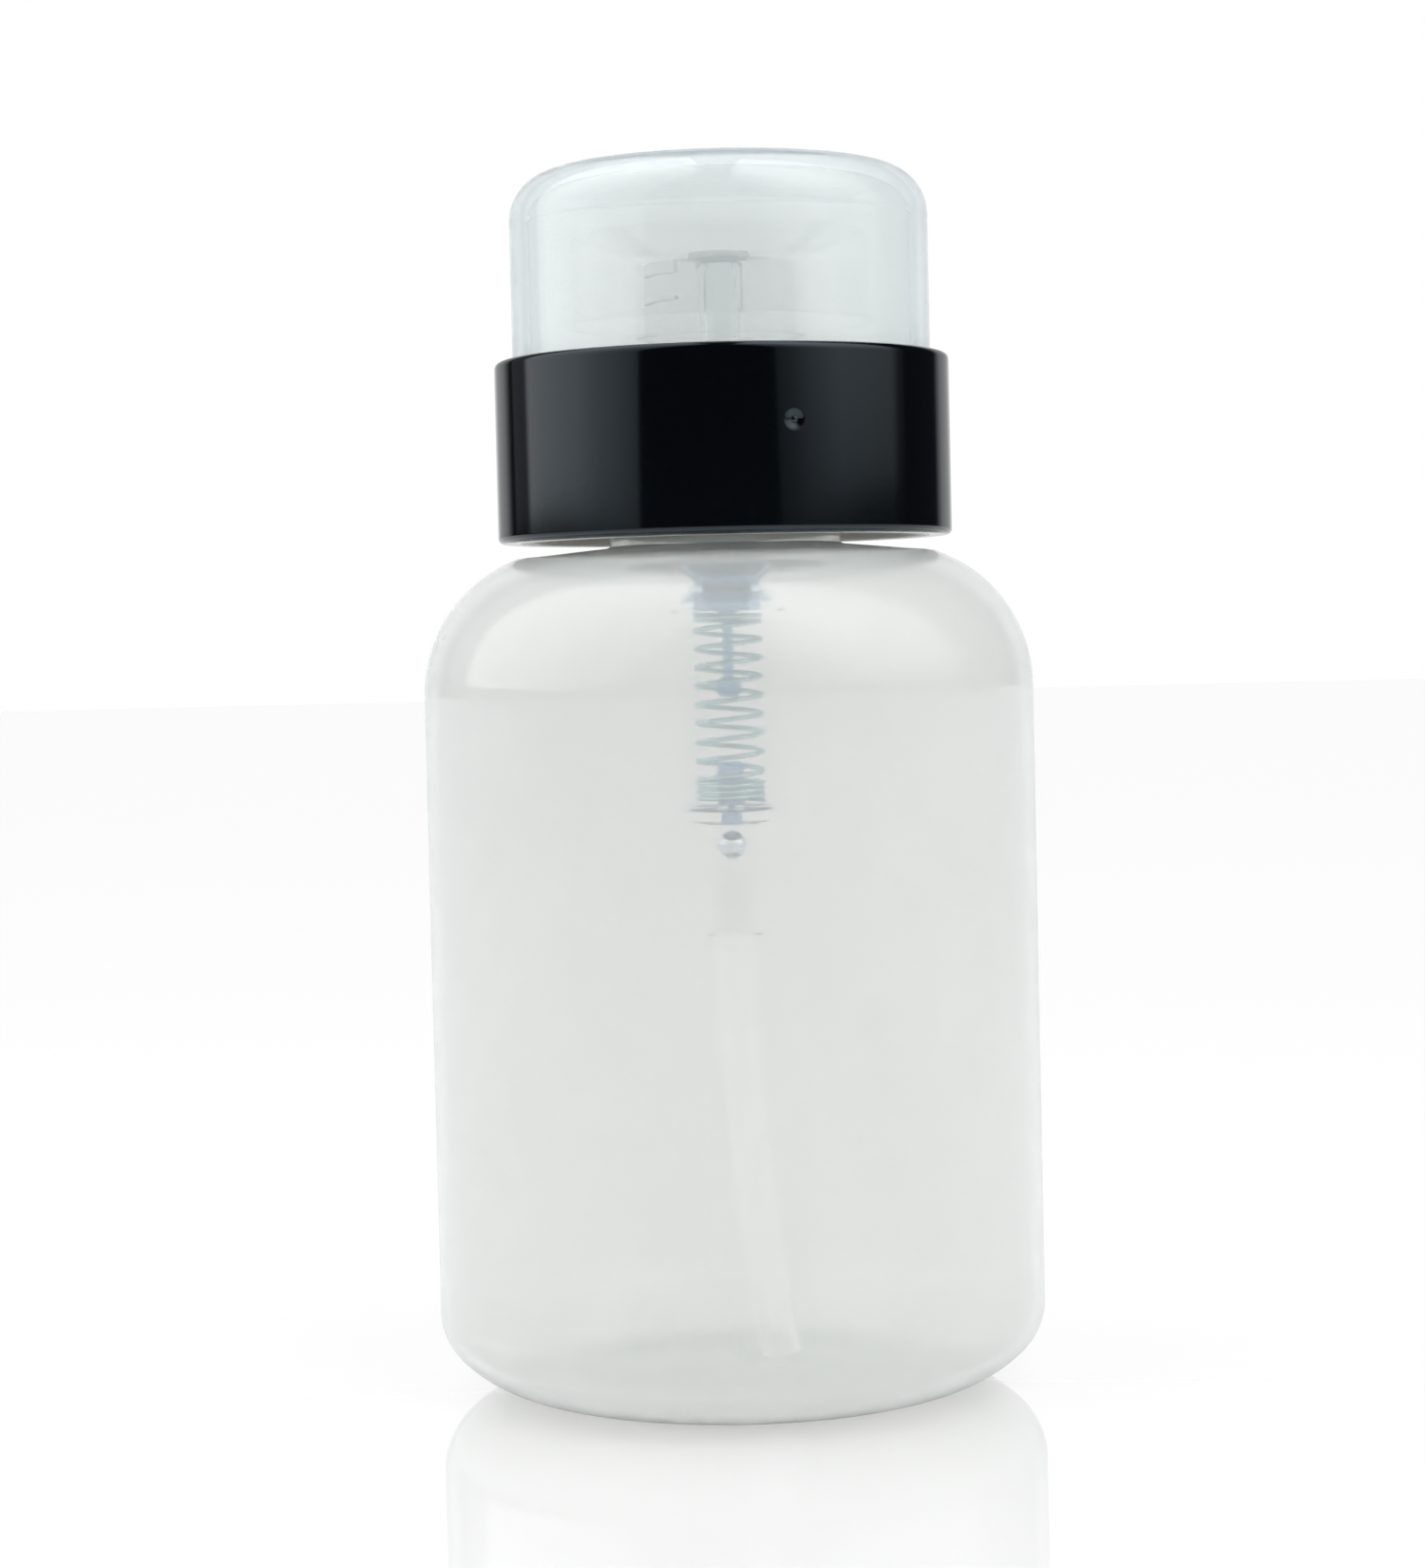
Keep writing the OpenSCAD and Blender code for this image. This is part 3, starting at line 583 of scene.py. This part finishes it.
low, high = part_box("inlet_ball")
ball_r, ball_z = high[0] / MM, (low[2] + high[2]) / 2 / MM
outline = arc(0, ball_z, ball_r, -90, 90, 24)
outline[0], outline[-1] = (0, ball_z - ball_r), (0, ball_z + ball_r)
fit(lathe("steel_ball", outline, steps=48), metal("ground_steel", "#D3DCE8", 0.08, 0.14, 0.1),
    "ball", "ball_steel", "inlet_ball")

# ---------------------------------------------------------------------------
# Dip tube: extruded polyethylene, cut from a coil, so it keeps a long bend. It
# pushes into the housing's socket. A faint painted glow brightens it a little.
# painted glow: the tube's small emission brightens it
tube_pe = hazy_plastic("extruded_polyethylene_tube", "#FFFFFF", 0.12, "#FFFFFF", 0.05, 1.0, 0.015,
                       bend=1.25, painted_glow=0.03)
tube_r, tube_bore, bend_r = 2.0, 1.4, 225.0
tube_end, tube_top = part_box("dip_tube")[0][2] / MM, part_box("dip_tube")[1][2] / MM


def pipe(name, path, outer, inner, sides=32):
    """A pipe with square ends along (x, z) points in the plane y = 0, in mm."""
    mesh = bmesh.new()
    walls = []
    for radius in (outer, inner):
        rings = []
        for i, (x, z) in enumerate(path):
            back, ahead = path[max(i - 1, 0)], path[min(i + 1, len(path) - 1)]
            run = Vector((ahead[0] - back[0], ahead[1] - back[1])).normalized()
            turns = [2 * math.pi * k / sides for k in range(sides)]
            rings.append([mesh.verts.new(Vector((x + radius * math.cos(t) * run.y, radius * math.sin(t),
                                                 z - radius * math.cos(t) * run.x)) * MM) for t in turns])
        walls.append(rings)
    for rings in walls:
        for a, b in zip(rings, rings[1:]):
            for k in range(sides):
                mesh.faces.new((a[k], a[(k + 1) % sides], b[(k + 1) % sides], b[k]))
    for end in (0, -1):
        for k in range(sides):
            n = (k + 1) % sides
            mesh.faces.new((walls[0][end][k], walls[0][end][n], walls[1][end][n], walls[1][end][k]))
    bmesh.ops.recalc_face_normals(mesh, faces=mesh.faces)
    return as_object(name, mesh)


sweep = math.asin((socket_z - tube_end - 0.2) / bend_r)
turned = [sweep * i / 24 for i in range(25)]
bend = [(bend_r * (1 - math.cos(t)), socket_z - bend_r * math.sin(t)) for t in turned]
tube = pipe("dip_tube_pe", [(0, tube_top), (0, (tube_top + socket_z) / 2)] + bend, tube_r, tube_bore)
fit(tube, tube_pe, "pump_body", "tube_pe", "dip_tube")

# ---------------------------------------------------------------------------
# Spring: drawn stainless wire with closed turns at both ends. It stands on the
# cage and carries the valve seat. The real spring shortens when the pump is pressed.
def helix_tree():
    """Geometry nodes for a round bar wound in a helix with closer turns at both ends."""
    tree = bpy.data.node_groups.new("wound_bar", "GeometryNodeTree")
    sockets = [("Radius", "NodeSocketFloat", 0.003), ("Bar radius", "NodeSocketFloat", 0.0003),
               ("Start height", "NodeSocketFloat", 0.0), ("Foot turns", "NodeSocketFloat", 0.0),
               ("Open turns", "NodeSocketFloat", 8.0), ("Head turns", "NodeSocketFloat", 0.0),
               ("Closed pitch", "NodeSocketFloat", 0.0006), ("Open pitch", "NodeSocketFloat", 0.002),
               ("Run-out turns", "NodeSocketFloat", 0.0), ("Steps a turn", "NodeSocketFloat", 40.0),
               ("Finish", "NodeSocketMaterial", None)]
    tree.interface.new_socket("Geometry", in_out="OUTPUT", socket_type="NodeSocketGeometry")
    for name, kind, value in sockets:
        socket = tree.interface.new_socket(name, in_out="INPUT", socket_type=kind)
        if value is not None:
            socket.default_value = value
    given = add_node(tree, "NodeGroupInput").outputs

    def sum_of(kind, a, b):
        node = add_node(tree, "ShaderNodeMath", {"operation": kind})
        for i, value in enumerate((a, b)):
            if isinstance(value, (int, float)):
                node.inputs[i].default_value = value
            else:
                tree.links.new(value, node.inputs[i])
        return node.outputs[0]

    turns = sum_of("ADD", sum_of("ADD", given["Foot turns"], given["Open turns"]), given["Head turns"])
    steps = sum_of("ROUND", sum_of("MULTIPLY", turns, given["Steps a turn"]), 0)
    line = add_node(tree, "GeometryNodeMeshLine", links={"Count": sum_of("ADD", steps, 1)})
    index = add_node(tree, "GeometryNodeInputIndex").outputs[0]
    turn = sum_of("MULTIPLY", sum_of("DIVIDE", index, steps), turns)
    angle = sum_of("MULTIPLY", turn, 2 * math.pi)
    past_foot = sum_of("MAXIMUM", sum_of("SUBTRACT", turn, given["Foot turns"]), 0)
    opened = sum_of("MINIMUM", past_foot, given["Open turns"])
    closed = sum_of("SUBTRACT", turn, opened)
    rise = sum_of("ADD", sum_of("MULTIPLY", closed, given["Closed pitch"]),
                  sum_of("MULTIPLY", opened, given["Open pitch"]))
    place = add_node(tree, "ShaderNodeCombineXYZ", links={
        0: sum_of("MULTIPLY", given["Radius"], sum_of("COSINE", angle, 0)),
        1: sum_of("MULTIPLY", given["Radius"], sum_of("SINE", angle, 0)),
        2: sum_of("ADD", given["Start height"], rise)})
    placed = add_node(tree, "GeometryNodeSetPosition",
                      links={"Geometry": line.outputs[0], "Position": place.outputs[0]})
    curve = add_node(tree, "GeometryNodeMeshToCurve", links={0: placed.outputs[0]})
    # the bar grows from nothing over the run-out at each end, or keeps its size when that is 0
    near = sum_of("MINIMUM", turn, sum_of("SUBTRACT", turns, turn))
    grown = sum_of("MINIMUM", sum_of("DIVIDE", near, sum_of("MAXIMUM", given["Run-out turns"], 1e-6)), 1)
    full = sum_of("MAXIMUM", grown, sum_of("LESS_THAN", given["Run-out turns"], 1e-5))
    sized = add_node(tree, "GeometryNodeSetCurveRadius",
                     links={"Curve": curve.outputs[0], "Radius": sum_of("MAXIMUM", full, 0.05)})
    profile = add_node(tree, "GeometryNodeCurvePrimitiveCircle", inputs={"Resolution": 12},
                       links={"Radius": given["Bar radius"]})
    bar = add_node(tree, "GeometryNodeCurveToMesh", inputs={"Fill Caps": True},
                   links={"Curve": sized.outputs[0], "Profile Curve": profile.outputs[0]})
    if "Scale" in bar.inputs:
        radius = add_node(tree, "GeometryNodeInputRadius")
        tree.links.new(radius.outputs[0], bar.inputs["Scale"])
    real = add_node(tree, "GeometryNodeRealizeInstances", links={0: bar.outputs[0]})
    smooth = add_node(tree, "GeometryNodeSetShadeSmooth", links={0: real.outputs[0]})
    painted = add_node(tree, "GeometryNodeSetMaterial",
                       links={"Geometry": smooth.outputs[0], "Material": given["Finish"]})
    add_node(tree, "NodeGroupOutput", links={0: painted.outputs[0]})
    return tree


def grown(name, tree, values):
    """A piece made by a geometry-nodes tree with these named inputs, as a plain mesh."""
    maker = bpy.data.objects.new(name + "_maker", bpy.data.meshes.new(name + "_maker"))
    bpy.context.scene.collection.objects.link(maker)
    modifier = maker.modifiers.new("nodes", "NODES")
    modifier.node_group = tree
    sockets = {item.name: item.identifier for item in tree.interface.items_tree if item.in_out == "INPUT"}
    for key, value in values.items():
        modifier[sockets[key]] = value
    data = bpy.data.meshes.new_from_object(maker.evaluated_get(bpy.context.evaluated_depsgraph_get()))
    maker.modifiers.remove(modifier)
    bpy.data.objects.remove(maker)
    data.name = name
    piece = bpy.data.objects.new(name, data)
    bpy.context.scene.collection.objects.link(piece)
    return piece


wound_bar = helix_tree()
steel_wire = metal("drawn_steel_wire", "#A8C8CE", 0.22, 0.38, 0.2)
spring_low, spring_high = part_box("spring")[0][2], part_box("spring")[1][2]
coil_d, wire_d = 7.0 * MM, 0.55 * MM
bar_r = wire_d / 2 * 0.85
foot_turns, open_turns, head_turns, closed_pitch = 3.5, 8.5, 1.5, 0.6 * MM
open_pitch = (spring_high - spring_low - wire_d - (foot_turns + head_turns) * closed_pitch) / open_turns
spring = grown("steel_spring", wound_bar, {
    "Radius": (coil_d - wire_d) / 2, "Bar radius": bar_r, "Start height": spring_low + wire_d / 2,
    "Foot turns": foot_turns, "Open turns": open_turns, "Head turns": head_turns,
    "Closed pitch": closed_pitch, "Open pitch": open_pitch, "Finish": steel_wire})
fit(spring, steel_wire, "pump_body", "spring_steel", "spring")
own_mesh(spring)

# ---------------------------------------------------------------------------
# Threads: a right-hand ridge on the neck and its mate inside the closure, one
# and a half turns of each, running out at both ends.
thread_pitch, thread_low = 3.175 * MM, (cone_root_z + 3.0) * MM
neck_thread = grown("neck_thread", wound_bar, {
    "Radius": (neck_r + 0.12) * MM, "Bar radius": 0.62 * MM, "Start height": thread_low,
    "Open turns": 1.5, "Open pitch": thread_pitch, "Run-out turns": 0.12, "Finish": pp_bottle})
fit(neck_thread, pp_bottle, "bottle", "pp_bottle")
closure_thread = grown("closure_thread", wound_bar, {
    "Radius": (skirt_bore - 0.1) * MM, "Bar radius": 0.5 * MM,
    "Start height": thread_low - thread_pitch / 2, "Open turns": 1.5, "Open pitch": thread_pitch,
    "Run-out turns": 0.12, "Finish": pp_natural})
fit(closure_thread, pp_natural, "collar", "pp_natural")

# ---------------------------------------------------------------------------
# Piston and valve seat: blue polyethylene. The piston has a lip at each end. The
# seat plugs the stem, stands on the spring, and has a pin with a bulb inside it.
low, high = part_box("piston")
piston_z, piston_top, lip_r = low[2] / MM, high[2] / MM, high[0] / MM
piston_bore, piston_core, lip_h, lip_t = 2.35, 3.25, 1.3, 0.35
outline = rounded([
    (piston_bore, piston_z, 0.1), (piston_core, piston_z, 0.1), (piston_core, piston_z + lip_h, 0.1),
    (lip_r - lip_t, piston_z), (lip_r, piston_z), (lip_r, piston_z + 0.5, 0.15),
    (piston_core, piston_z + lip_h + 0.7, 0.1), (piston_core, piston_top - lip_h - 0.7, 0.1),
    (lip_r, piston_top - 0.5, 0.15), (lip_r, piston_top), (lip_r - lip_t, piston_top),
    (piston_core, piston_top - lip_h, 0.1), (piston_core, piston_top, 0.1), (piston_bore, piston_top, 0.1)])
fit(lathe("blue_piston", outline, steps=96), blue_pe, "piston", "blue_pe", "piston")
low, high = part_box("piston_seat")
tail_z, seat_top, seat_r = low[2] / MM, high[2] / MM - 2.0, high[0] / MM
seat_z, bulb_r, pin_r, plug_end_r = seat_top - 0.8, 1.2, 0.5, 1.35
outline = [(0, tail_z)] + rounded([
    (0, tail_z), (0.8, tail_z, 0.2), (bulb_r, tail_z + 0.5, 0.3), (bulb_r, tail_z + 1.5, 0.4),
    (pin_r, tail_z + 2.1, 0.3), (pin_r, seat_z - 0.6, 0.3), (1.2, seat_z, 0.2), (seat_r, seat_z, 0.15),
    (seat_r, seat_top, 0.15), (plug_end_r, seat_top, 0.1), (plug_end_r, seat_top + 2.0, 0.3),
    (0, seat_top + 2.0)])[1:]
fit(lathe("blue_valve_seat", outline, steps=96), blue_pe, "head", "blue_pe", "piston_seat")

# ---------------------------------------------------------------------------
# Stem: clarified polypropylene tube from the valve seat to the dish.
stem_low, stem_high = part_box("stem")[0][2] / MM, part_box("stem")[1][2] / MM
stem_bore, stem_r = 1.4, 2.3
outline = rounded([(stem_bore, stem_low, 0.1), (stem_r, stem_low, 0.1),
                   (stem_r, stem_high, 0.1), (stem_bore, stem_high, 0.1)])
pp_stem = hazy_plastic("stem_polypropylene", "#FAFCFD", 0.06, "#FFFFFF", 0.03, 1.5, 0.01, bend=1.4)
fit(lathe("clear_stem", outline, steps=64), pp_stem, "head", "pp_clear", "stem")

# ---------------------------------------------------------------------------
# Dish: clarified polypropylene, the pad that is pressed and fills with liquid. An
# outer skirt hides the pump. The inner skirt turns on the stem guide, and has a
# lug that locks the dish down and a stop inside it.
low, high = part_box("actuator_dish")
dish_rim, dish_r = high[2] / MM, high[0] / MM
dish_z, dish_t, dish_flat = dish_rim - 4.0, 1.0, 7.5
skirt_z, inner_skirt_z, inner_skirt_r = dish_rim - 10.0, low[2] / MM, 8.4
inner_bore, dish_bore, insert_seat_r, insert_z = inner_skirt_r - 1, dish_r - dish_t, 3.05, dish_z + 0.5
outline = rounded([
    (stem_bore, dish_z, 0), (inner_bore, dish_z, 0.3), (inner_bore, inner_skirt_z, 0.2),
    (inner_skirt_r, inner_skirt_z, 0.2), (inner_skirt_r, dish_z + 0.45, 0.3),
    (dish_bore, dish_rim - dish_t, 0.5), (dish_bore, skirt_z, 0.2), (dish_r, skirt_z, 0.2),
    (dish_r, dish_rim, 0.45), (dish_bore, dish_rim, 0.4), (dish_flat, dish_z + dish_t, 1.5),
    (insert_seat_r, dish_z + dish_t, 0.1), (insert_seat_r, insert_z), (stem_bore, insert_z)])


def clear_shell(name, tint, haze, haze_tint, roughness, grain_mm):
    """A thin moulded wall, seen through without bending the light, with a slight haze and a gloss."""
    material, tree, output = new_material(name)
    where = add_node(tree, "ShaderNodeTexCoord").outputs["Object"]
    grain = add_node(tree, "ShaderNodeTexNoise", inputs={"Scale": 1 / (grain_mm * MM), "Detail": 3},
                     links={"Vector": where})
    bump = add_node(tree, "ShaderNodeBump", inputs={"Strength": 0.3, "Distance": 0.015 * MM},
                    links={"Height": grain.outputs[0]})
    amount = add_node(tree, "ShaderNodeMapRange", inputs={1: 0.3, 2: 0.7, 3: haze * 0.8, 4: haze * 1.2},
                      links={0: grain.outputs[0]})
    through = add_node(tree, "ShaderNodeBsdfTransparent", inputs={"Color": linear(tint)})
    veil = add_node(tree, "ShaderNodeBsdfDiffuse", inputs={"Color": linear(haze_tint)})
    hazy = add_node(tree, "ShaderNodeMixShader",
                    links={0: amount.outputs[0], 1: through.outputs[0], 2: veil.outputs[0]})
    gloss = add_node(tree, "ShaderNodeBsdfGlossy",
                     inputs={"Color": linear("#FFFFFF"), "Roughness": roughness},
                     links={"Normal": bump.outputs[0]})
    mirror = add_node(tree, "ShaderNodeFresnel", inputs={"IOR": 1.35}, links={"Normal": bump.outputs[0]})
    outward = add_node(tree, "ShaderNodeMath", {"operation": "SUBTRACT"}, {0: 1.0},
                       {1: add_node(tree, "ShaderNodeNewGeometry").outputs["Backfacing"]})
    shine = add_node(tree, "ShaderNodeMath", {"operation": "MULTIPLY"},
                     links={0: mirror.outputs[0], 1: outward.outputs[0]})
    shell = add_node(tree, "ShaderNodeMixShader",
                     links={0: shine.outputs[0], 1: hazy.outputs[0], 2: gloss.outputs[0]})
    tree.links.new(shell.outputs[0], output.inputs["Surface"])
    return material


pp_dish = clear_shell("thin_dish_polypropylene", "#FFFFFF", 0.04, "#FFFFFF", 0.08, 1.5)
fit(lathe("press_dish", outline, steps=160), pp_dish, "head", "pp_clear", "actuator_dish")


def ring_block(name, r_in, r_out, z, thick, start, sweep, steps=16):
    """A curved block inside a skirt, in mm, from a starting angle in degrees."""
    mesh = bmesh.new()
    corners = ((r_in, z), (r_out, z), (r_out, z + thick), (r_in, z + thick))
    sections = []
    for k in range(steps + 1):
        t = math.radians(start + sweep * k / steps)
        sections.append([mesh.verts.new((r * MM * math.cos(t), r * MM * math.sin(t), h * MM))
                         for r, h in corners])
    for a, b in zip(sections, sections[1:]):
        for k in range(4):
            mesh.faces.new((a[k], a[(k + 1) % 4], b[(k + 1) % 4], b[k]))
    mesh.faces.new(sections[0])
    mesh.faces.new(sections[-1])
    bmesh.ops.recalc_face_normals(mesh, faces=mesh.faces)
    return as_object(name, mesh)


lug_in, lug_out, lug_start, lug_sweep = guide_r + 0.15, inner_bore + 0.05, 182, 52
lug = ring_block("lock_lug", lug_in, lug_out, inner_skirt_z + 3.4, 0.4, lug_start, lug_sweep)
fit(lug, pp_natural, "head", "pp_clear")
stop = ring_block("turn_stop", lug_in, lug_out, dish_z - 1.25, 1.2, lug_start, lug_sweep)
fit(stop, pp_natural, "head", "pp_clear")

# ---------------------------------------------------------------------------
# Outlet insert: a small natural disc in the dish's middle with seven outlets.
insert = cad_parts["outlet_insert"]
insert.data.materials.clear()
insert.data.materials.append(pp_natural)

low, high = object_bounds()
